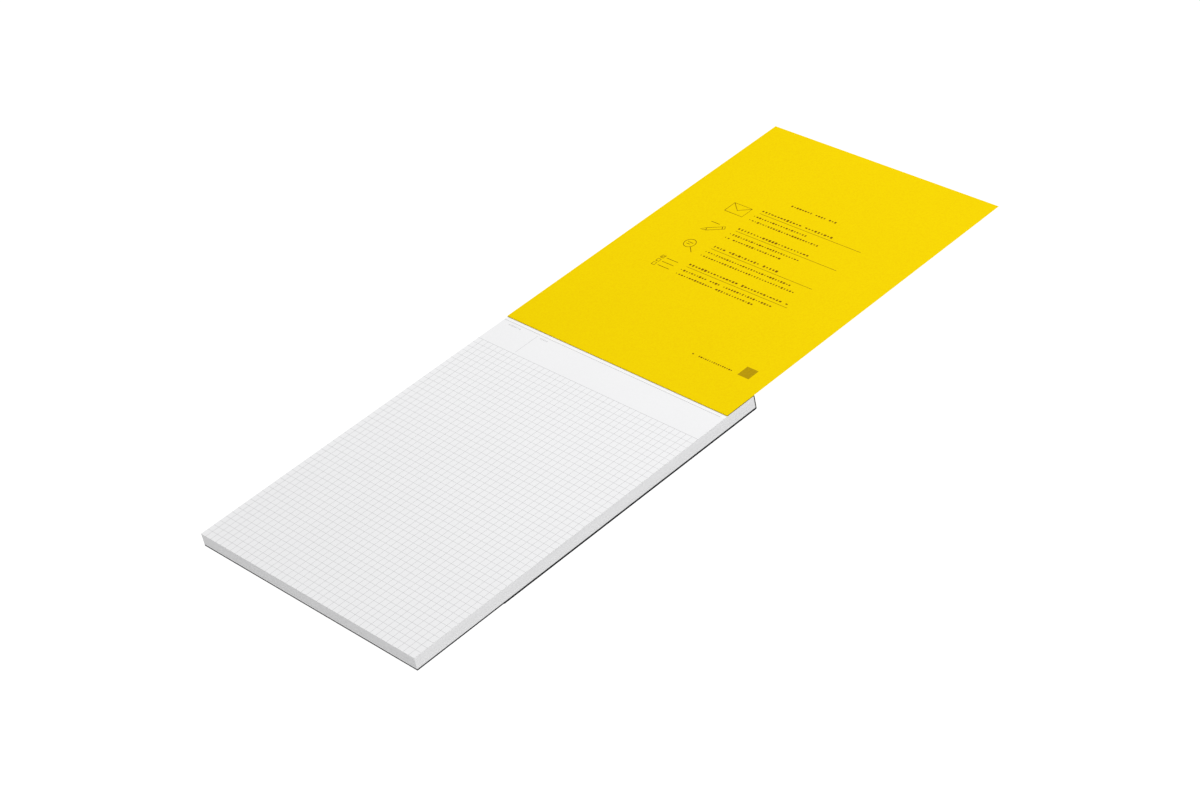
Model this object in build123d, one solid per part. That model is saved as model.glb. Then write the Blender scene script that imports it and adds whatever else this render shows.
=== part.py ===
from build123d import *
import os

# Top-bound pad of squared paper, lying open with its cover turned back over the spine.
# X runs across the sheets, +Y towards the spine, +Z up.
# The origin is on the face that the pad rests on, at the middle of the pad's width and length.

# Driving dimensions in millimetres

# Sheets and board
PAD_WIDTH = 210.0            # across the sheets, the short side of the paper
PAD_LENGTH = 301.0           # front edge of the sheets to the outer face of the spine
BLOCK_THICKNESS = 9.35       # the whole stack of sheets
BOARD_THICKNESS = 0.75       # stiff card under the sheets

# Binding wrap, one card strip folded round the spine
WRAP_THICKNESS = 0.45
WRAP_FOLD_RADIUS = 0.2       # inside of the two spine folds
BINDING_DEPTH = 25.4         # outer face of the spine to the front edge of the strip on top
BACK_PANEL_SETBACK = 72.5    # front edge of the sheets to the free edge of the back panel

# Cover, one thin card sheet bound under the strip and creased along its front edge
COVER_THICKNESS = 0.15
COVER_SETBACK = 0.3          # the closed cover stops this short of the sheets' front edge
CREASE_ROUNDING = 0.06       # rounded edge of the sheet where it was creased

# Staples, flat wire, one near each side, in the middle of the bound margin
STAPLE_SPACING = 105.0       # middle of one staple to the middle of the other
STAPLE_SPAN = 13.0           # over the outside of the two legs
CLINCH_LENGTH = 4.0          # folded end of a leg, from the inside of the leg to its tip
WIRE_THICKNESS = 0.5
WIRE_WIDTH = 0.75
WIRE_BEND_RADIUS = 0.3       # inside of each bend in the wire
WIRE_CLEARANCE = 0.05        # paper and board stand this clear of the wire on each side

# Levels, from the resting face upwards
BOARD_BOTTOM = WRAP_THICKNESS
BLOCK_BOTTOM = BOARD_BOTTOM + BOARD_THICKNESS
BLOCK_TOP = BLOCK_BOTTOM + BLOCK_THICKNESS
STRIP_BOTTOM = BLOCK_TOP + COVER_THICKNESS
STRIP_TOP = STRIP_BOTTOM + WRAP_THICKNESS

# Places along the pad, from the front edge to the spine
FRONT_Y = -PAD_LENGTH / 2
SPINE_Y = PAD_LENGTH / 2
SPINE_INSIDE_Y = SPINE_Y - WRAP_THICKNESS
BLOCK_SPINE_Y = SPINE_INSIDE_Y - WRAP_FOLD_RADIUS
CREASE_Y = SPINE_Y - BINDING_DEPTH
BACK_PANEL_Y = FRONT_Y + BACK_PANEL_SETBACK
STAPLE_Y = (CREASE_Y + BLOCK_SPINE_Y) / 2
COVER_LENGTH = CREASE_Y - FRONT_Y - COVER_SETBACK


def slab(back_y, front_y, bottom, top):
    """A flat sheet over the pad's full width, between two places in Y and two levels."""
    corner_box = Box(PAD_WIDTH, back_y - front_y, top - bottom, align=(Align.CENTER, Align.MIN, Align.MIN))
    return Pos(0, front_y, bottom) * corner_box


def bent_strip(inner_corners, fold_radius, thickness):
    """The section of a strip that bends the same way at each corner.

    The corners are those of its inside face before rounding, and the strip lies to their left.
    """
    inside = FilletPolyline(*inner_corners, radius=fold_radius)
    return make_face(offset(inside, thickness, side=Side.LEFT, closed=True).edges())


def wire_section(clearance):
    """A clinched staple in the XZ plane, or with a clearance, the channel that it lies in."""
    leg_x = STAPLE_SPAN / 2 - WIRE_THICKNESS - clearance
    tip_x = leg_x - CLINCH_LENGTH
    low = BOARD_BOTTOM + WIRE_THICKNESS + clearance
    high = BLOCK_TOP - WIRE_THICKNESS - clearance
    corners = [(-tip_x, low), (-leg_x, low), (-leg_x, high), (leg_x, high), (leg_x, low), (tip_x, low)]
    return bent_strip(corners, WIRE_BEND_RADIUS - clearance, WIRE_THICKNESS + 2 * clearance)


def staple_pair(clearance=0.0):
    """Both staples, or with a clearance, the channels that hold them."""
    half_width = WIRE_WIDTH / 2 + clearance
    wire = extrude(Plane.XZ * wire_section(clearance), half_width, both=True)
    return [Pos(x, STAPLE_Y, 0) * wire for x in (-STAPLE_SPACING / 2, STAPLE_SPACING / 2)]


def page_block():
    """The sheets as one solid, with the staples' crowns pressed flush into the top of them."""
    block = slab(BLOCK_SPINE_Y, FRONT_Y, BLOCK_BOTTOM, BLOCK_TOP)
    return block - staple_pair(WIRE_CLEARANCE)


def back_board():
    """The stiff card under the sheets, with the clinched legs pressed flush into its underside."""
    board = slab(BLOCK_SPINE_Y, FRONT_Y, BOARD_BOTTOM, BLOCK_BOTTOM)
    return board - staple_pair(WIRE_CLEARANCE)


def binding_wrap():
    """The strip on top, the spine and the back panel, folded from one piece of card."""
    inner_corners = [
        (CREASE_Y, STRIP_BOTTOM),
        (SPINE_INSIDE_Y, STRIP_BOTTOM),
        (SPINE_INSIDE_Y, BOARD_BOTTOM),
        (BACK_PANEL_Y, BOARD_BOTTOM),
    ]
    section = bent_strip(inner_corners, WRAP_FOLD_RADIUS, WRAP_THICKNESS)
    return extrude(Plane.YZ * section, PAD_WIDTH / 2, both=True)


def cover_margin():
    """The cover's bound margin, between the top sheet and the strip."""
    return slab(BLOCK_SPINE_Y, CREASE_Y, BLOCK_TOP, STRIP_BOTTOM)


def front_cover():
    """The cover as it lies open, on the strip and out over the spine."""
    cover = slab(CREASE_Y + COVER_LENGTH, CREASE_Y, STRIP_TOP, STRIP_TOP + COVER_THICKNESS)
    creased_edge = cover.edges().filter_by(Axis.X).group_by(Axis.Y)[0].sort_by(Axis.Z)[-1]
    return fillet(creased_edge, CREASE_ROUNDING)


os.makedirs("parts", exist_ok=True)
export_step(page_block(), "parts/page_block.step")
export_step(back_board(), "parts/back_board.step")
export_step(binding_wrap(), "parts/binding_wrap.step")
export_step(cover_margin(), "parts/cover_margin.step")
export_step(front_cover(), "parts/front_cover.step")
export_step(Compound(children=staple_pair()), "parts/staples.step")
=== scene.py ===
import math

import bmesh
import bpy
from bpy.props import FloatProperty, FloatVectorProperty, IntProperty, PointerProperty
from bpy.types import Operator, Panel, PropertyGroup
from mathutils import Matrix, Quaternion, Vector


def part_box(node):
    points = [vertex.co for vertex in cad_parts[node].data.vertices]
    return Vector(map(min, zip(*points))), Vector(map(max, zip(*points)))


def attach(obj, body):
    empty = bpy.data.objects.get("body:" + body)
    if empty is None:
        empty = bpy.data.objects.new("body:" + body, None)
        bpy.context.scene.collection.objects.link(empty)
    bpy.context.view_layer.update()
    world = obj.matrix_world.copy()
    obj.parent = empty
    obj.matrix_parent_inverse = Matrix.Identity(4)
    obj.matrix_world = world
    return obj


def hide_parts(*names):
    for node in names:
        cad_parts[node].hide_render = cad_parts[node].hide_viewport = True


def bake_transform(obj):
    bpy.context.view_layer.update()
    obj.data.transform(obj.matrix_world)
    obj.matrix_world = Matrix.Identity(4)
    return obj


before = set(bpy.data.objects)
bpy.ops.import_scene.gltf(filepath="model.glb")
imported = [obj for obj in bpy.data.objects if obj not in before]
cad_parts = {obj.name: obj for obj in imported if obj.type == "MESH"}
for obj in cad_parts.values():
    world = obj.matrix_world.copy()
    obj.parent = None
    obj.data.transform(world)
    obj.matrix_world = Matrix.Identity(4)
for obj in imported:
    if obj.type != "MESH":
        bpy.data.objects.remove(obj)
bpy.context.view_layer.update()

# Top-bound pad of squared paper, lying open with its cover turned back over the spine.
# Lengths are in metres. X runs across the sheets, +Y towards the spine, +Z up.

bl_info = {
    "name": "Squared Notepad",
    "version": (1, 0, 0),
    "blender": (4, 5, 0),
    "location": "3D View > Sidebar > Notepad",
    "description": "Dresses the pad: sheets, ruling, tear line, cover and its print, card and wire",
    "category": "Object",
}

MM = 0.001

# Places taken from the frame
BLOCK_LOW, BLOCK_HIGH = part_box("page_block")
MARGIN_LOW, MARGIN_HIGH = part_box("cover_margin")
COVER_LOW, COVER_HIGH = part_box("front_cover")
FRONT_Y = BLOCK_LOW.y
LEFT_X = BLOCK_LOW.x
PAD_WIDTH = BLOCK_HIGH.x - BLOCK_LOW.x
CREASE_Y = MARGIN_LOW.y

# A layer of ink. The top sheet and the cover lie lower by it, so that the ink stays inside the CAD's box
INK_THICKNESS = 0.008 * MM
PAGE_TOP = BLOCK_HIGH.z - INK_THICKNESS
# Air between the ruling and the print of the closed cover
PRINT_AIR = 0.002 * MM
COVER_TOP = COVER_HIGH.z - INK_THICKNESS - PRINT_AIR


def linear(red, green, blue):
    """A colour given as 0 to 255 in sRGB, as Blender's linear values."""
    shares = [value / 255 for value in (red, green, blue)]
    return tuple(s / 12.92 if s <= 0.04045 else ((s + 0.055) / 1.055) ** 2.4 for s in shares)


def length(name, description, default):
    """A property in metres."""
    return FloatProperty(name=name, description=description, default=default, unit="LENGTH", precision=5)


def colour(name, description, default):
    """A colour property."""
    return FloatVectorProperty(
        name=name, description=description, default=default, size=3, min=0, max=1, subtype="COLOR"
    )


class SheetSizes(PropertyGroup):
    """The stack of sheets."""

    count: IntProperty(name="Sheets", description="Sheets in the pad", default=70, min=2)
    gap: length("Air", "Air between one sheet and the next", 0.001 * MM)
    stray: length("Stray", "How far one sheet may lie out of line", 0.002 * MM)
    drift: length("Drift", "How far the edge of the stack wanders through its thickness", 0.06 * MM)
    # Painted shade: the cut edges are coloured dark along the board and along the spine, where the sheets
    # meet the board and the wrap
    painted_board_shade: length("Painted board shade", "Dark part of the cut edges above the board", 0.2 * MM)
    painted_spine_shade: length("Painted spine shade", "Dark part of the cut edges next to the spine", 0.14 * MM)
    seed: IntProperty(name="Seed", description="Which arrangement of the sheets", default=7)


class RulingSizes(PropertyGroup):
    """The squares and the header on the top sheet."""

    square_across: length("Square across", "One lengthwise line to the next", 5.125 * MM)
    square_along: length("Square along", "One crosswise line to the next", 5.142 * MM)
    line: length("Lengthwise line", "Width of a lengthwise line", 0.25 * MM)
    cross_line: length("Crosswise line", "Width of a crosswise line", 0.2 * MM)
    side_margin: length("Side margin", "Left edge of the sheet to the first lengthwise line", 5.05 * MM)
    front_margin: length("Front margin", "Front edge of the sheet to the first crosswise line", 5.74 * MM)
    lengthwise: IntProperty(name="Lengthwise lines", description="Lines from front to header", default=40)
    crosswise: IntProperty(
        name="Crosswise lines", description="Lines from side to side, with the header's base", default=48
    )
    base_line: length("Header base", "Width of the header's two lines", 0.27 * MM)
    divider_x: length("Divider", "Left edge of the sheet to the line that divides the header", 35.5 * MM)
    divider_gap: length("Divider gap", "Bare paper above and below the dividing line", 1.9 * MM)
    label_height: length("Label height", "Height of the two label marks", 1.6 * MM)
    label_drop: length("Label drop", "Tear line to the middle of the label marks", 2.9 * MM)
    label_pitch: length("Label pitch", "One block of a label mark to the next", 1.5 * MM)


class TearSizes(PropertyGroup):
    """The perforation behind the header and the strip between it and the cover's crease."""

    setback: length("Setback", "Cover's crease to the tear line", 3.2 * MM)
    pitch: length("Pitch", "One cut to the next along the tear line", 1.75 * MM)
    cut: length("Cut", "Length of one cut", 1.45 * MM)
    cut_width: length("Cut width", "Width of one cut", 0.36 * MM)
    end_margin: length("End margin", "Least bare paper right of the last cut", 3.1 * MM)
    tick: length("Tick", "Length of the pressed marks behind the tear line", 2.3 * MM)
    tick_width: length("Tick width", "Width of a pressed mark", 0.4 * MM)


class CoverPrintSizes(PropertyGroup):
    """The printed notes on the open cover, as rows of plain blocks, rules and line drawings."""

    title_left: length("Title start", "Pad's middle to the left end of the title row", -23 * MM)
    title_y: length("Title", "Pad's middle to the title row", 327.2 * MM)
    title_length: length("Title length", "Length of the title row", 44 * MM)
    first_rule_y: length("First rule", "Pad's middle to the rule of the furthest note", 308.6 * MM)
    note_pitch: length("Note pitch", "One note to the next", 25.05 * MM)
    rule_left: length("Rule start", "Pad's middle to the left end of a rule", -36.3 * MM)
    rule_right: length("Rule end", "Pad's middle to the right end of a rule", 58.4 * MM)
    rule: length("Rule", "Width of a rule", 0.36 * MM)
    head_height: length("Head height", "Height of the blocks in a note's head row", 2.25 * MM)
    row_height: length("Row height", "Height of the blocks in the other rows", 1.95 * MM)
    dot: length("Dot", "Side of the dot in front of a row", 0.8 * MM)
    drawing_x: length("Drawing", "Pad's middle to the middle of a drawing", -53 * MM)
    stroke: length("Stroke", "Width of a drawn line", 0.5 * MM)
    small_left: length("Small row start", "Pad's middle to the left end of the small row", 37.8 * MM)
    small_y: length("Small row", "Pad's middle to the small row", 161.8 * MM)
    small_length: length("Small row length", "Length of the small row", 37.8 * MM)
    small_height: length("Small row height", "Height of the blocks in the small row", 1.5 * MM)
    square_x: length("Square across", "Pad's middle to the middle of the plain square, across", 85.3 * MM)
    square_y: length("Square along", "Pad's middle to the middle of the plain square, along", 165.7 * MM)
    square: length("Square", "Side of the plain square", 10 * MM)
    seed: IntProperty(name="Seed", description="Which arrangement of the blocks", default=11)


class Finishes(PropertyGroup):
    """Colours of the pad's materials."""

    paper: colour("Paper", "Sheets", linear(236, 236, 237))
    ruling: colour("Ruling ink", "Squares and header", linear(190, 190, 191))
    label: colour("Label ink", "Two label marks in the header", linear(205, 205, 206))
    # Painted shade: the cuts are grey bars on the top sheet, coloured as the shade inside the slits
    tear: colour("Tear line", "Cuts along the tear line", linear(180, 180, 181))
    # Painted shade: the pressed marks are pale grey bars, coloured as the shade in their dents
    pressed: colour("Pressed marks", "Marks behind the tear line", linear(230, 230, 230))
    cover: colour("Cover", "Through-dyed cover card", linear(238, 208, 3))
    cover_ink: colour("Cover ink", "Print on the cover", linear(128, 86, 6))
    cover_tint: colour("Cover tint", "Plain square on the cover", linear(178, 146, 5))
    wrap: colour("Wrap", "Card round the spine", linear(20, 20, 22))
    board: colour("Board", "Stiff card under the sheets", linear(26, 26, 27))
    wire: colour("Wire", "Staples", linear(190, 190, 188))


class StudioSettings(PropertyGroup):
    """Floor, light and camera."""

    lamp_power: FloatProperty(
        name="Lamp", description="Power of the overhead lamp", default=44.5, unit="POWER"
    )
    side_power: FloatProperty(
        name="Side lamp", description="Power of the side lamp", default=8.2, unit="POWER"
    )
    fill: FloatProperty(name="Fill", description="Even light from all round", default=0.3)
    glow: FloatProperty(name="Glow", description="Light that the lit table gives", default=1.0)
    aim: FloatVectorProperty(
        name="Aim",
        description="Point in the middle of the picture",
        default=(0.0187, 0.09329, 0.01055),
        subtype="TRANSLATION",
        unit="LENGTH",
    )
    distance: length("Distance", "Camera to that point", 1.90338)
    azimuth: FloatProperty(
        name="Azimuth", description="Camera's way round", default=math.radians(52.742), subtype="ANGLE"
    )
    elevation: FloatProperty(
        name="Elevation", description="Camera's height angle", default=math.radians(35.874), subtype="ANGLE"
    )
    roll: FloatProperty(
        name="Roll", description="Camera's tilt", default=math.radians(-12.587), subtype="ANGLE"
    )
    lens: FloatProperty(name="Lens", description="Focal length in millimetres", default=87.091)


class Socket:
    """One value in a node tree. Arithmetic on it adds Math nodes."""

    def __init__(self, nodes, socket):
        self.nodes = nodes
        self.socket = socket

    def __add__(self, other):
        return self.nodes.maths("ADD", self, other)

    def __radd__(self, other):
        return self.nodes.maths("ADD", other, self)

    def __sub__(self, other):
        return self.nodes.maths("SUBTRACT", self, other)

    def __rsub__(self, other):
        return self.nodes.maths("SUBTRACT", other, self)

    def __mul__(self, other):
        return self.nodes.maths("MULTIPLY", self, other)

    def __rmul__(self, other):
        return self.nodes.maths("MULTIPLY", other, self)

    def __truediv__(self, other):
        return self.nodes.maths("DIVIDE", self, other)

    def __lt__(self, other):
        return self.nodes.maths("LESS_THAN", self, other)

    def __gt__(self, other):
        return self.nodes.maths("GREATER_THAN", self, other)


class Nodes:
    """Fills one node tree, of a material or of a Geometry Nodes group."""

    def __init__(self, tree):
        self.tree = tree

    @staticmethod
    def find(sockets, key):
        """A socket by its place, or the first live one with that name."""
        if isinstance(key, int):
            return sockets[key]
        return next(s for s in sockets if s.name == key and s.enabled)

    def add(self, kind, settings=None, values=None, result=0):
        """A node with its settings, then the values or links of its sockets. Gives one of its outputs."""
        node = self.tree.nodes.new(kind)
        for name, value in (settings or {}).items():
            setattr(node, name, value)
        for key, value in (values or {}).items():
            socket = self.find(node.inputs, key)
            if isinstance(value, Socket):
                self.tree.links.new(value.socket, socket)
            else:
                socket.default_value = value
        return Socket(self, self.find(node.outputs, result)) if node.outputs else node

    def maths(self, operation, first, second):
        return self.add("ShaderNodeMath", {"operation": operation}, {0: first, 1: second})

    def noise(self, place, scale, detail=2.0):
        """Soft noise from 0 to 1, with its middle at 0.5."""
        return self.add("ShaderNodeTexNoise", None, {"Vector": place, "Scale": scale, "Detail": detail})

    def stretched(self, place, scale):
        """Coordinates scaled by a different amount along each axis."""
        return self.add("ShaderNodeVectorMath", {"operation": "MULTIPLY"}, {0: place, 1: scale})

    def shaded(self, plain, amount):
        """A plain colour made lighter or darker by a changing amount."""
        values = {0: plain, "Scale": amount}
        return self.add("ShaderNodeVectorMath", {"operation": "SCALE"}, values)

    def mixed(self, first, second, share):
        """Two colours mixed by a changing share of the second."""
        values = {"Factor": share, "A": first, "B": second}
        return self.add("ShaderNodeMix", {"data_type": "RGBA"}, values, "Result")

    def ramp(self, value, low, high):
        """0 below low, 1 above high, and an even slope between."""
        values = {"Value": value, "From Min": low, "From Max": high}
        return self.add("ShaderNodeMapRange", None, values)


def opaque(plain):
    """A colour property as the four numbers that a colour socket takes."""
    return (*plain, 1.0)


def new_material(name):
    """A material with its tree emptied, and the Object coordinates in it."""
    material = bpy.data.materials.new(name)
    material.use_nodes = True
    material.node_tree.nodes.clear()
    nodes = Nodes(material.node_tree)
    return material, nodes, nodes.add("ShaderNodeTexCoord", None, None, "Object")


def close_material(nodes, base, roughness, bump_height, bump_depth, gloss=0.3, metallic=0.0):
    """The main shader, with a fine relief."""
    relief = {"Height": bump_height, "Strength": 1.0, "Distance": bump_depth}
    values = {
        "Base Color": base,
        "Roughness": roughness,
        "Specular IOR Level": gloss,
        "Metallic": metallic,
        "Normal": nodes.add("ShaderNodeBump", None, relief),
    }
    shader = nodes.add("ShaderNodeBsdfPrincipled", None, values)
    nodes.add("ShaderNodeOutputMaterial", None, {"Surface": shader})


def paper_material(finishes, sheets, tear):
    """White writing paper with faint clouds and fibres, lighter behind the tear line.

    The cut edges are streaked, and a little darker than the face as painted shade between the sheets. Next
    to the board and the spine they are painted dark, as the shade where the sheets meet the board and the
    wrap.
    """
    material, nodes, place = new_material("writing_paper")
    clouds = nodes.noise(place, 22.0)
    fibres = nodes.noise(place, 700.0, 1.0)
    streaks = nodes.noise(nodes.stretched(place, (7.0, 7.0, 1500.0)), 1.0, 1.0)
    along = nodes.add("ShaderNodeSeparateXYZ", None, {"Vector": place}, "Y")
    height = nodes.add("ShaderNodeSeparateXYZ", None, {"Vector": place}, "Z")

    tear_y = CREASE_Y - tear.setback
    tear_fade = 0.1 * MM
    behind = nodes.ramp(along, tear_y, tear_y + tear_fade)
    face = 0.99 + 0.045 * behind + 0.02 * clouds + 0.03 * fibres

    # Painted shade where the sheets meet the board and the wrap: the cut edges are coloured dark there,
    # fading out over a short height and length
    board_fade = 0.25 * MM
    spine_fade = 0.14 * MM
    board_shade_top = BLOCK_LOW.z + sheets.painted_board_shade
    spine_shade_front = BLOCK_HIGH.y - sheets.painted_spine_shade
    above_board = nodes.ramp(height, board_shade_top, board_shade_top + board_fade)
    near_spine = nodes.ramp(along, spine_shade_front - spine_fade, spine_shade_front)
    unshaded = above_board * (1.0 - near_spine)
    # Painted shade between the sheets: the cut edges are a little darker than the face all over. The streaks
    # are the sheets' own tone
    edge = (0.1 + 0.9 * unshaded) * (0.85 + 0.12 * streaks)

    rim = 0.01 * MM
    top = nodes.ramp(height, PAGE_TOP - 3 * rim, PAGE_TOP - rim)
    light = top * face + (1.0 - top) * edge
    close_material(
        nodes, nodes.shaded(finishes.paper, light), 0.62 + 0.12 * fibres, top * fibres, 0.0015 * MM
    )
    return material


def ink_material(name, plain, patchiness):
    """Matt printing ink, a little uneven where the paper took less of it."""
    material, nodes, place = new_material(name)
    patches = nodes.noise(place, 900.0, 4.0)
    light = 1.0 - 0.5 * patchiness + patchiness * patches
    close_material(nodes, nodes.shaded(plain, light), 0.5 + 0.1 * patches, patches, 0.002 * MM, 0.03)
    return material


def cover_material(finishes):
    """Yellow through-dyed card: fine mottling towards orange, and short fibres."""
    material, nodes, place = new_material("yellow_card")
    mottle = nodes.noise(place, 850.0, 3.0)
    clouds = nodes.noise(place, 12.0)
    fibres = nodes.noise(nodes.stretched(place, (900.0, 2200.0, 900.0)), 1.0, 3.0)
    deeper = tuple(value * share for value, share in zip(finishes.cover, (0.97, 0.93, 1.15)))
    dyed = nodes.mixed(opaque(finishes.cover), opaque(deeper), nodes.ramp(mottle, 0.42, 0.68))
    light = 0.97 + 0.03 * fibres + 0.03 * clouds
    close_material(nodes, nodes.shaded(dyed, light), 0.55 + 0.1 * fibres, fibres, 0.008 * MM, 0.01)
    return material


def card_material(name, plain, fleck):
    """Dark through-dyed card with paler fibres in it and layers along its cut edges."""
    material, nodes, place = new_material(name)
    fibres = nodes.noise(nodes.stretched(place, (500.0, 2600.0, 1800.0)), 1.0, 4.0)
    grain = nodes.noise(place, 1500.0, 3.0)
    layers = nodes.noise(nodes.stretched(place, (30.0, 30.0, 9000.0)), 1.0, 2.0)
    light = 0.7 + fleck * nodes.ramp(fibres, 0.55, 0.8) + 0.25 * grain + 0.3 * layers
    close_material(nodes, nodes.shaded(plain, light), 0.6 + 0.2 * grain, grain, 0.01 * MM, 0.06)
    return material


def wire_material(finishes):
    """Zinc-coated flat wire with fine drawing lines along the crown of a staple."""
    material, nodes, place = new_material("zinc_wire")
    lines = nodes.noise(nodes.stretched(place, (120.0, 14000.0, 6000.0)), 1.0, 3.0)
    light = 0.85 + 0.3 * lines
    base = nodes.shaded(finishes.wire, light)
    close_material(nodes, base, 0.28 + 0.2 * lines, lines, 0.004 * MM, gloss=0.5, metallic=1.0)
    return material


def geometry_tree(name, inputs):
    """A Geometry Nodes group with named inputs. Gives the group, its builder and the inputs' sockets."""
    tree = bpy.data.node_groups.new(name, "GeometryNodeTree")
    for label, kind in inputs.items():
        tree.interface.new_socket(label, in_out="INPUT", socket_type="NodeSocket" + kind)
    tree.interface.new_socket("Geometry", in_out="OUTPUT", socket_type="NodeSocketGeometry")
    nodes = Nodes(tree)
    given = tree.nodes.new("NodeGroupInput")
    return tree, nodes, {label: Socket(nodes, given.outputs[label]) for label in inputs}


def close_tree(nodes, instances, material):
    """The end of every group: real meshes with their material."""
    solid = nodes.add("GeometryNodeRealizeInstances", None, {"Geometry": instances})
    finished = nodes.add("GeometryNodeSetMaterial", None, {"Geometry": solid, "Material": material})
    nodes.add("NodeGroupOutput", None, {"Geometry": finished})


def grown_mesh(name, tree, values, source=None):
    """The plain mesh that a Geometry Nodes group makes from these inputs, and from a curve if given."""
    host = bpy.data.objects.new(name, source or bpy.data.meshes.new(name))
    bpy.context.scene.collection.objects.link(host)
    modifier = host.modifiers.new("Nodes", "NODES")
    modifier.node_group = tree
    for item in tree.interface.items_tree:
        if item.in_out == "INPUT" and item.name in values:
            modifier[item.identifier] = values[item.name]
    depsgraph = bpy.context.evaluated_depsgraph_get()
    made = host.evaluated_get(depsgraph)
    mesh = bpy.data.meshes.new_from_object(made, preserve_all_data_layers=True, depsgraph=depsgraph)
    bpy.data.objects.remove(host)
    return mesh


def joined_mesh(name, meshes, material):
    """Several meshes as one, with one material."""
    together = bmesh.new()
    for mesh in meshes:
        together.from_mesh(mesh)
        bpy.data.meshes.remove(mesh)
    whole = bpy.data.meshes.new(name)
    together.to_mesh(whole)
    together.free()
    whole.materials.clear()
    whole.materials.append(material)
    return whole


def edge_slack(sheets):
    """How far the top sheet stays inside its box on each side, so that no stray sheet leaves the box."""
    return sheets.stray + sheets.drift / 2


def new_piece(name, mesh):
    """A piece of the pad, at the origin, with its place in its mesh."""
    mesh.name = name
    piece = bpy.data.objects.new(name, mesh)
    bpy.context.scene.collection.objects.link(piece)
    return piece


def stack_tree():
    """Sheets laid on each other, each a little out of line, and the stack's edge wanders slowly.

    The top sheet stays in line.
    """
    tree, nodes, given = geometry_tree(
        "stacked_sheets",
        {
            "Sheets": "Int",
            "Sheet Size": "Vector",
            "Lowest Centre": "Vector",
            "Pitch": "Float",
            "Stray": "Float",
            "Drift": "Float",
            "Seed": "Int",
            "Paper": "Material",
        },
    )
    rise = nodes.add("ShaderNodeCombineXYZ", None, {"Z": given["Pitch"]})
    line = {"Count": given["Sheets"], "Start Location": given["Lowest Centre"], "Offset": rise}
    points = nodes.add("GeometryNodeMeshLine", None, line)
    place = nodes.add("GeometryNodeInputPosition")
    number = nodes.add("GeometryNodeInputIndex")
    below_top = number < given["Sheets"] - 1
    shifts = []
    for axis in (0, 1):
        random = nodes.add(
            "FunctionNodeRandomValue",
            {"data_type": "FLOAT"},
            {"Min": -1.0, "Max": 1.0, "Seed": given["Seed"] + axis},
            "Value",
        )
        wander = nodes.noise(nodes.stretched(place, (1.0, 1.0, 380.0 + 90.0 * axis)), 1.0, 0.0)
        shifts.append(below_top * (random * given["Stray"] + (wander - 0.5) * given["Drift"]))
    shift = nodes.add("ShaderNodeCombineXYZ", None, {"X": shifts[0], "Y": shifts[1]})
    moved = nodes.add("GeometryNodeSetPosition", None, {"Geometry": points, "Offset": shift})
    sheet = nodes.add("GeometryNodeMeshCube", None, {"Size": given["Sheet Size"]})
    stack = nodes.add("GeometryNodeInstanceOnPoints", None, {"Points": moved, "Instance": sheet})
    close_tree(nodes, stack, given["Paper"])
    return tree


def bar_tree():
    """Equal bars of ink in an even row."""
    tree, nodes, given = geometry_tree(
        "even_bars",
        {
            "Count": "Int",
            "First Centre": "Vector",
            "Step": "Vector",
            "Bar Size": "Vector",
            "Ink": "Material",
        },
    )
    line = {"Count": given["Count"], "Start Location": given["First Centre"], "Offset": given["Step"]}
    points = nodes.add("GeometryNodeMeshLine", None, line)
    bar = nodes.add("GeometryNodeMeshCube", None, {"Size": given["Bar Size"]})
    row = nodes.add("GeometryNodeInstanceOnPoints", None, {"Points": points, "Instance": bar})
    close_tree(nodes, row, given["Ink"])
    return tree


def block_row_tree():
    """A row of plain blocks of uneven size at an even pitch, as a line of small print looks from afar."""
    tree, nodes, given = geometry_tree(
        "block_row",
        {
            "Row Start": "Vector",
            "Row Length": "Float",
            "Pitch": "Float",
            "Block Height": "Float",
            "Thickness": "Float",
            "Seed": "Int",
            "Ink": "Material",
        },
    )

    def random(low, high, turn):
        values = {"Min": low, "Max": high, "Seed": given["Seed"] + turn}
        return nodes.add("FunctionNodeRandomValue", {"data_type": "FLOAT"}, values, "Value")

    step = nodes.add("ShaderNodeCombineXYZ", None, {"X": given["Pitch"]})
    count = given["Row Length"] / given["Pitch"]
    line = {"Count": count, "Start Location": given["Row Start"], "Offset": step}
    points = nodes.add("GeometryNodeMeshLine", None, line)
    size = nodes.add(
        "ShaderNodeCombineXYZ",
        None,
        {
            "X": given["Pitch"] * random(0.3, 0.75, 0),
            "Y": given["Block Height"] * random(0.45, 1.0, 1),
            "Z": given["Thickness"],
        },
    )
    # Share of the places in a row that stay bare
    bare_share = 0.06
    shown = random(0.0, 1.0, 2) > bare_share
    block = nodes.add("GeometryNodeMeshCube", None, {"Size": (1.0, 1.0, 1.0)})
    row = {"Points": points, "Selection": shown, "Instance": block, "Scale": size}
    close_tree(nodes, nodes.add("GeometryNodeInstanceOnPoints", None, row), given["Ink"])
    return tree


def stroke_tree():
    """Drawn lines of ink along the splines of a curve."""
    tree, nodes, given = geometry_tree(
        "drawn_lines", {"Geometry": "Geometry", "Stroke": "Float", "Thickness": "Float", "Ink": "Material"}
    )
    upright = nodes.add("GeometryNodeSetCurveNormal", {"mode": "Z_UP"}, {"Curve": given["Geometry"]})
    outline = {"Width": given["Stroke"], "Height": given["Thickness"]}
    section = nodes.add("GeometryNodeCurvePrimitiveQuadrilateral", {"mode": "RECTANGLE"}, outline)
    line = {"Curve": upright, "Profile Curve": section, "Fill Caps": True}
    close_tree(nodes, nodes.add("GeometryNodeCurveToMesh", None, line), given["Ink"])
    return tree


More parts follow.
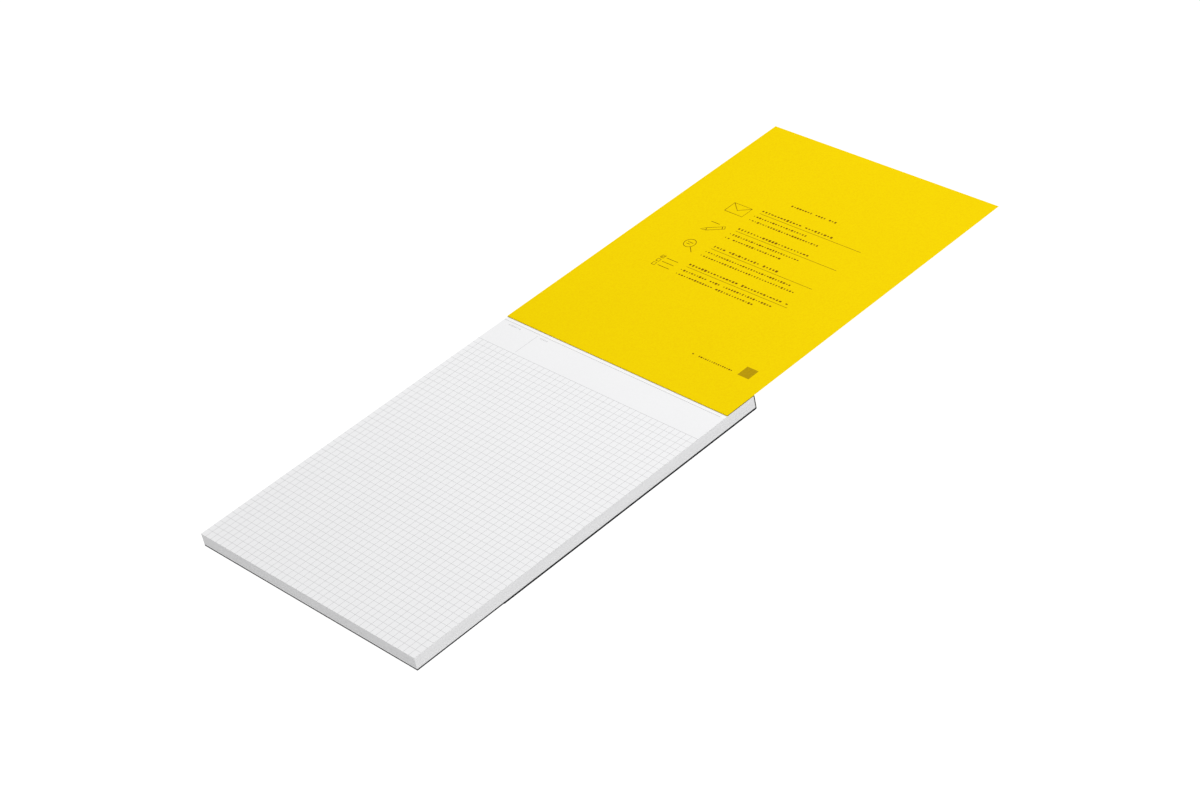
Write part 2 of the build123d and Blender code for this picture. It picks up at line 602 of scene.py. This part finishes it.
def bars(name, tree, count, first, step, size, ink):
    """An even row of ink bars as a mesh. Places and sizes are vectors."""
    values = {
        "Count": count,
        "First Centre": Vector(first),
        "Step": Vector(step),
        "Bar Size": Vector(size),
        "Ink": ink,
    }
    return grown_mesh(name, tree, values)


def block_row(tree, start, row_length, pitch, height, seed, ink):
    """One row of plain blocks as a mesh."""
    values = {
        "Row Start": Vector(start) + Vector((pitch / 2, 0, 0)),
        "Row Length": row_length,
        "Pitch": pitch,
        "Block Height": height,
        "Thickness": INK_THICKNESS,
        "Seed": seed,
        "Ink": ink,
    }
    return grown_mesh("block_row", tree, values)


class NOTEPAD_OT_sheets(Operator):
    """Lay the sheets of the pad on each other"""

    bl_idname = "notepad.sheets"
    bl_label = "Sheets"

    def execute(self, context):
        sizes = context.scene.notepad_sheets
        tear = context.scene.notepad_tear
        slack = edge_slack(sizes)
        pitch = (PAGE_TOP - BLOCK_LOW.z) / sizes.count
        block_length = BLOCK_HIGH.y - BLOCK_LOW.y
        sheet = Vector((PAD_WIDTH - 2 * slack, block_length - 2 * slack, pitch - sizes.gap))
        middle = (BLOCK_LOW + BLOCK_HIGH) / 2
        values = {
            "Sheets": sizes.count,
            "Sheet Size": sheet,
            "Lowest Centre": Vector((middle.x, middle.y, BLOCK_LOW.z + pitch - sheet.z / 2)),
            "Pitch": pitch,
            "Stray": sizes.stray,
            "Drift": sizes.drift,
            "Seed": sizes.seed,
            "Paper": paper_material(context.scene.notepad_finishes, sizes, tear),
        }
        piece = new_piece("writing_sheets", grown_mesh("writing_sheets", stack_tree(), values))
        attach(piece, "pad")
        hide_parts("page_block")
        return {"FINISHED"}


class NOTEPAD_OT_ruling(Operator):
    """Rule the top sheet with squares and a header"""

    bl_idname = "notepad.ruling"
    bl_label = "Ruling"

    # Seed of each label mark, with its start from the sheet's left edge and its length
    LABELS = ((3, 7.5 * MM, 12.5 * MM), (4, 39 * MM, 7.5 * MM))
    # Ink of the lengthwise lines, as a share of the layer's thickness
    THIN_SHARE = 0.8

    def execute(self, context):
        sizes = context.scene.notepad_ruling
        tear = context.scene.notepad_tear
        slack = edge_slack(context.scene.notepad_sheets)
        ink = ink_material("ruling_ink", context.scene.notepad_finishes.ruling, 0.12)
        tree = bar_tree()
        front = FRONT_Y + slack
        header_base = FRONT_Y + sizes.front_margin + (sizes.crosswise - 1) * sizes.square_along
        tear_y = CREASE_Y - tear.setback
        across = PAD_WIDTH - 2 * slack
        low = PAGE_TOP + INK_THICKNESS / 2
        # The ink of the lengthwise lines is thinner, so that no two faces lie in one plane where lines cross
        thin = INK_THICKNESS * self.THIN_SHARE

        lengthwise = bars(
            "lengthwise_lines",
            tree,
            sizes.lengthwise,
            (LEFT_X + sizes.side_margin, (front + header_base) / 2, PAGE_TOP + thin / 2),
            (sizes.square_across, 0, 0),
            (sizes.line, header_base - front, thin),
            ink,
        )
        crosswise = bars(
            "crosswise_lines",
            tree,
            sizes.crosswise - 1,
            (0, FRONT_Y + sizes.front_margin, low),
            (0, sizes.square_along, 0),
            (across, sizes.cross_line, INK_THICKNESS),
            ink,
        )
        base = bars(
            "header_base",
            tree,
            1,
            (0, header_base, low),
            (0, 0, 0),
            (across, sizes.base_line, INK_THICKNESS),
            ink,
        )
        divider_length = tear_y - header_base - 2 * sizes.divider_gap
        divider = bars(
            "header_divider",
            tree,
            1,
            (LEFT_X + sizes.divider_x, (tear_y + header_base) / 2, low),
            (0, 0, 0),
            (sizes.base_line, divider_length, INK_THICKNESS),
            ink,
        )
        labels = []
        rows = block_row_tree()
        pale = ink_material("label_ink", context.scene.notepad_finishes.label, 0.12)
        for seed, start_x, row_length in self.LABELS:
            start = (LEFT_X + start_x, tear_y - sizes.label_drop, low)
            labels.append(
                block_row(rows, start, row_length, sizes.label_pitch, sizes.label_height, seed, pale)
            )
        for name, mesh in (
            ("lengthwise_lines", lengthwise),
            ("crosswise_lines", crosswise),
            ("header_lines", joined_mesh("header_lines", [base, divider], ink)),
            ("label_marks", joined_mesh("label_marks", labels, pale)),
        ):
            piece = new_piece(name, mesh)
            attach(piece, "pad")
        return {"FINISHED"}


class NOTEPAD_OT_tear_line(Operator):
    """Lay the tear line's cuts and the pressed marks behind it as thin bars, grey with painted shade"""

    bl_idname = "notepad.tear_line"
    bl_label = "Tear line"

    def execute(self, context):
        sizes = context.scene.notepad_tear
        slack = edge_slack(context.scene.notepad_sheets)
        finishes = context.scene.notepad_finishes
        # The grey of the cuts is painted shade inside the slits, and the grey of the pressed marks is
        # painted shade in their dents
        shaded = ink_material("painted_cut_shade", finishes.tear, 0.1)
        pressed = ink_material("painted_press_shade", finishes.pressed, 0.1)
        tree = bar_tree()
        low = PAGE_TOP + INK_THICKNESS / 2
        tear_y = CREASE_Y - sizes.setback
        count = int((PAD_WIDTH - sizes.end_margin - slack) / sizes.pitch)
        first_x = LEFT_X + slack + sizes.cut / 2
        cuts = bars(
            "cuts",
            tree,
            count,
            (first_x, tear_y, low),
            (sizes.pitch, 0, 0),
            (sizes.cut, sizes.cut_width, INK_THICKNESS),
            shaded,
        )
        ticks = bars(
            "ticks",
            tree,
            count,
            (first_x, tear_y + sizes.setback / 2, low),
            (sizes.pitch, 0, 0),
            (sizes.tick_width, sizes.tick, INK_THICKNESS),
            pressed,
        )
        for name, mesh in (("tear_line", cuts), ("pressed_marks", ticks)):
            piece = new_piece(name, mesh)
            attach(piece, "pad")
        return {"FINISHED"}


def cover_path(thickness):
    """The middle line of the cover in the YZ plane: bound margin, fold round the strip, open leaf."""
    low = MARGIN_LOW.z + thickness / 2
    high = COVER_TOP - thickness / 2
    radius = (high - low) / 2
    turns = 16
    arc = [
        (
            CREASE_Y - radius * math.sin(math.pi * step / turns),
            (low + high) / 2 - radius * math.cos(math.pi * step / turns),
        )
        for step in range(turns + 1)
    ]
    return [(MARGIN_HIGH.y, low), *arc, (COVER_HIGH.y, high)]


def swept_sheet(name, path, thickness):
    """A sheet over the pad's full width that follows a path in the YZ plane."""
    whole = bmesh.new()
    rings = []
    for number, (y, z) in enumerate(path):
        before = Vector(path[max(number - 1, 0)])
        after = Vector(path[min(number + 1, len(path) - 1)])
        along = (after - before).normalized()
        side = Vector((-along.y, along.x)) * thickness / 2
        corners = (
            (COVER_LOW.x, y + side.x, z + side.y),
            (COVER_HIGH.x, y + side.x, z + side.y),
            (COVER_HIGH.x, y - side.x, z - side.y),
            (COVER_LOW.x, y - side.x, z - side.y),
        )
        rings.append([whole.verts.new(corner) for corner in corners])
    for first, second in zip(rings, rings[1:]):
        for corner in range(4):
            following = (corner + 1) % 4
            whole.faces.new((first[corner], first[following], second[following], second[corner]))
    whole.faces.new(rings[0])
    whole.faces.new(rings[-1])
    bmesh.ops.recalc_face_normals(whole, faces=whole.faces)
    mesh = bpy.data.meshes.new(name)
    whole.to_mesh(mesh)
    whole.free()
    return mesh


class NOTEPAD_OT_cover(Operator):
    """Fold the cover round the strip and lay it open"""

    bl_idname = "notepad.cover"
    bl_label = "Cover"

    def execute(self, context):
        thickness = COVER_TOP - COVER_LOW.z
        piece = new_piece("yellow_cover", swept_sheet("yellow_cover", cover_path(thickness), thickness))
        piece.data.materials.append(cover_material(context.scene.notepad_finishes))
        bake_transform(piece)
        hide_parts("front_cover", "cover_margin")
        return {"FINISHED"}


def circle(centre, radius, points=28):
    """Points round a circle, closed."""
    turn = 2 * math.pi / points
    return [
        (centre[0] + radius * math.cos(turn * n), centre[1] + radius * math.sin(turn * n))
        for n in range(points + 1)
    ]


def rectangle(left, bottom, right, top):
    """The four sides of a rectangle, closed."""
    return [(left, bottom), (right, bottom), (right, top), (left, top), (left, bottom)]


def letter_drawing():
    """A closed envelope, in millimetres about its middle."""
    return [rectangle(-8.5, -5.5, 8.5, 5.5), [(-8.5, 5.5), (0, -1.2), (8.5, 5.5)]]


def pencil_drawing():
    """A pencil lying aslant, in millimetres about its middle."""
    body = [(-4.5, -3.4), (6.6, 4.4), (8.3, 2.0), (-2.8, -5.8), (-7.6, -6.6), (-4.5, -3.4)]
    return [body, [(-4.5, -3.4), (-2.8, -5.8)], [(5.0, 3.3), (6.7, 0.9)], [(-7, 4.5), (1, 4.5)]]


def lens_drawing():
    """A magnifying glass over two lines, in millimetres about its middle."""
    handle = [(1.9, -1.7), (7.2, -6.4)]
    return [circle((-1.5, 1.5), 4.6), handle, [(-4, 2.4), (1, 2.4)], [(-4, 0.4), (-0.4, 0.4)]]


def list_drawing():
    """A short list of ticked boxes, in millimetres about its middle."""
    lines = []
    for row in (-4.6, 0, 4.6):
        lines.append(rectangle(-8, row - 1.4, -5.2, row + 1.4))
        lines.append([(-3, row), (8, row)])
    return [*lines, [(-7.6, 4.7), (-6.8, 3.8), (-4.8, 6.4)]]


def drawing_curve(lines, middle):
    """A curve object's data with one straight-sided spline for each drawn line, in metres."""
    curve = bpy.data.curves.new("drawing", "CURVE")
    curve.dimensions = "3D"
    for line in lines:
        spline = curve.splines.new("POLY")
        spline.points.add(len(line) - 1)
        for point, (x, y) in zip(spline.points, line):
            point.co = (middle.x + x * MM, middle.y + y * MM, middle.z, 1.0)
    return curve


class NOTEPAD_OT_cover_print(Operator):
    """Print the open cover with rows of plain blocks, rules and line drawings"""

    bl_idname = "notepad.cover_print"
    bl_label = "Cover print"

    # For each note from the far end, in millimetres: its head row and the two rows under its rule
    NOTE_ROWS = ((68, 49, 65), (68, 64, 52), (64, 81, 88), (95, 84, 72))
    DRAWINGS = (letter_drawing, pencil_drawing, lens_drawing, list_drawing)
    # One block to the next, as a share of the blocks' height
    PITCH_SHARE = 1.3

    def execute(self, context):
        sizes = context.scene.notepad_cover_print
        ink = ink_material("cover_ink", context.scene.notepad_finishes.cover_ink, 0.25)
        low = COVER_TOP + INK_THICKNESS / 2
        rows = block_row_tree()
        strokes = stroke_tree()
        even = bar_tree()
        # Above or below a note's rule: its head row, its two rows and its drawing
        head_rise, first_drop, second_drop, drawing_drop = 3.2 * MM, 4.4 * MM, 9.4 * MM, 4.2 * MM
        # Head row and dots start this far left of the rule, and a row starts this far behind its dot
        lead, dot_gap = 0.8 * MM, 1.6 * MM

        def row(x, y, row_length, height, number):
            seed = sizes.seed + 5 * number
            pitch = self.PITCH_SHARE * height
            return block_row(rows, (x, y, low), row_length, pitch, height, seed, ink)

        text = [row(sizes.title_left, sizes.title_y, sizes.title_length, sizes.row_height, 0)]
        drawn = []
        for number, (head, first, second) in enumerate(self.NOTE_ROWS):
            rule_y = sizes.first_rule_y - number * sizes.note_pitch
            left = sizes.rule_left - lead
            text.append(row(left, rule_y + head_rise, head * MM, sizes.head_height, 3 * number + 1))
            for turn, drop, row_length in ((2, first_drop, first), (3, second_drop, second)):
                y = rule_y - drop
                text.append(row(left + dot_gap, y, row_length * MM, sizes.row_height, 3 * number + turn))
                dot = (sizes.dot, sizes.dot, INK_THICKNESS)
                text.append(bars("dot", even, 1, (left, y, low), (0, 0, 0), dot, ink))
            values = {"Stroke": sizes.stroke, "Thickness": INK_THICKNESS, "Ink": ink}
            middle = Vector((sizes.drawing_x, rule_y - drawing_drop, low))
            curve = drawing_curve(self.DRAWINGS[number](), middle)
            drawn.append(grown_mesh("drawing", strokes, values, curve))
        rule_length = sizes.rule_right - sizes.rule_left
        rule_x = (sizes.rule_right + sizes.rule_left) / 2
        rules = bars(
            "rules",
            even,
            len(self.NOTE_ROWS),
            (rule_x, sizes.first_rule_y, low),
            (0, -sizes.note_pitch, 0),
            (rule_length, sizes.rule, INK_THICKNESS),
            ink,
        )
        small_number = 20
        small = row(sizes.small_left, sizes.small_y, sizes.small_length, sizes.small_height, small_number)
        tint = ink_material("cover_tint", context.scene.notepad_finishes.cover_tint, 0.5)
        square = bars(
            "square",
            even,
            1,
            (sizes.square_x, sizes.square_y, low),
            (0, 0, 0),
            (sizes.square, sizes.square, INK_THICKNESS),
            tint,
        )
        for name, meshes, finish in (
            ("cover_rows", [*text, small], ink),
            ("cover_rules", [rules], ink),
            ("cover_square", [square], tint),
            ("cover_drawings", drawn, ink),
        ):
            piece = new_piece(name, joined_mesh(name, meshes, finish))
            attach(piece, "cover")
        return {"FINISHED"}


class NOTEPAD_OT_card_and_wire(Operator):
    """Finish the binding wrap, the board and the staples"""

    bl_idname = "notepad.card_and_wire"
    bl_label = "Card and wire"

    def execute(self, context):
        finishes = context.scene.notepad_finishes
        materials = {
            "binding_wrap": card_material("black_card", finishes.wrap, 0.5),
            "back_board": card_material("grey_board", finishes.board, 0.8),
            "staples": wire_material(finishes),
        }
        for node, material in materials.items():
            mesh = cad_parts[node].data
            mesh.materials.clear()
            mesh.materials.append(material)
        return {"FINISHED"}


class NOTEPAD_OT_studio(Operator):
    """Set the lit table, the lamps and the camera"""

    bl_idname = "notepad.studio"
    bl_label = "Studio"

    def execute(self, context):
        settings = context.scene.notepad_studio
        scene = context.scene
        self.table(settings)
        self.lights(settings)
        scene.camera = self.camera(settings)
        scene.view_settings.view_transform = "Standard"
        return {"FINISHED"}

    @staticmethod
    def table(settings):
        """A wide plain floor that glows evenly."""
        whole = bmesh.new()
        bmesh.ops.create_circle(whole, cap_ends=True, segments=64, radius=9.0)
        mesh = bpy.data.meshes.new("lit_table")
        whole.to_mesh(mesh)
        whole.free()
        material, nodes, _ = new_material("lit_table")
        values = {
            "Base Color": (0.1, 0.1, 0.1, 1.0),
            "Roughness": 0.9,
            "Specular IOR Level": 0.0,
            "Emission Color": (1.0, 1.0, 1.0, 1.0),
            "Emission Strength": settings.glow,
        }
        shader = nodes.add("ShaderNodeBsdfPrincipled", None, values)
        nodes.add("ShaderNodeOutputMaterial", None, {"Surface": shader})
        mesh.materials.append(material)
        table = bpy.data.objects.new("lit_table", mesh)
        bpy.context.scene.collection.objects.link(table)

    @staticmethod
    def lamp(name, size, power, location, aim):
        """A square soft lamp that points at the aim."""
        data = bpy.data.lights.new(name, "AREA")
        data.shape = "SQUARE"
        data.size = size
        data.energy = power
        lamp = bpy.data.objects.new(name, data)
        lamp.location = location
        lamp.rotation_mode = "QUATERNION"
        lamp.rotation_quaternion = (Vector(aim) - lamp.location).to_track_quat("-Z", "Y")
        bpy.context.scene.collection.objects.link(lamp)

    @classmethod
    def lights(cls, settings):
        """A large soft lamp overhead, a smaller one to the right, and even light from all round."""
        cls.lamp(
            "overhead_lamp", size=1.8, power=settings.lamp_power, location=(0.1, 0.9, 2.1), aim=(0, 0.1, 0)
        )
        cls.lamp(
            "side_lamp", size=1.0, power=settings.side_power, location=(1.95, -0.3, 0.8), aim=(0.1, 0, 0)
        )
        world = bpy.data.worlds.new("even_light")
        world.use_nodes = True
        background = world.node_tree.nodes["Background"]
        background.inputs["Color"].default_value = (1.0, 1.0, 1.0, 1.0)
        background.inputs["Strength"].default_value = settings.fill
        bpy.context.scene.world = world

    @staticmethod
    def camera(settings):
        """The camera, looking at the aim from its angle, with its tilt."""
        azimuth, elevation = settings.azimuth, settings.elevation
        level = math.cos(elevation)
        back = Vector((math.sin(azimuth) * level, -math.cos(azimuth) * level, math.sin(elevation)))
        data = bpy.data.cameras.new("camera")
        data.sensor_width = 36.0
        data.lens = settings.lens
        camera = bpy.data.objects.new("camera", data)
        camera.location = Vector(settings.aim) + back * settings.distance
        camera.rotation_mode = "QUATERNION"
        tilt = Quaternion((0, 0, 1), settings.roll)
        camera.rotation_quaternion = (-back).to_track_quat("-Z", "Y") @ tilt
        bpy.context.scene.collection.objects.link(camera)
        return camera


class NOTEPAD_PT_sidebar(Panel):
    """The pad's operators and sizes"""

    bl_label = "Notepad"
    bl_idname = "NOTEPAD_PT_sidebar"
    bl_space_type = "VIEW_3D"
    bl_region_type = "UI"
    bl_category = "Notepad"

    def draw(self, context):
        for name, group in SETTINGS.items():
            box = self.layout.box()
            box.label(text=group.__doc__)
            for field in group.__annotations__:
                box.prop(getattr(context.scene, name), field)
        for step in STEPS:
            self.layout.operator(step.bl_idname)


SETTINGS = {
    "notepad_sheets": SheetSizes,
    "notepad_ruling": RulingSizes,
    "notepad_tear": TearSizes,
    "notepad_cover_print": CoverPrintSizes,
    "notepad_finishes": Finishes,
    "notepad_studio": StudioSettings,
}

STEPS = (
    NOTEPAD_OT_sheets,
    NOTEPAD_OT_ruling,
    NOTEPAD_OT_tear_line,
    NOTEPAD_OT_cover,
    NOTEPAD_OT_cover_print,
    NOTEPAD_OT_card_and_wire,
    NOTEPAD_OT_studio,
)


def register():
    for kind in (*SETTINGS.values(), *STEPS, NOTEPAD_PT_sidebar):
        bpy.utils.register_class(kind)
    for name, group in SETTINGS.items():
        setattr(bpy.types.Scene, name, PointerProperty(type=group))


def unregister():
    for name in SETTINGS:
        delattr(bpy.types.Scene, name)
    for kind in (NOTEPAD_PT_sidebar, *STEPS, *SETTINGS.values()):
        bpy.utils.unregister_class(kind)


def main():
    register()
    for step in STEPS:
        group, name = step.bl_idname.split(".")
        getattr(getattr(bpy.ops, group), name)()


if __name__ == "__main__":
    main()
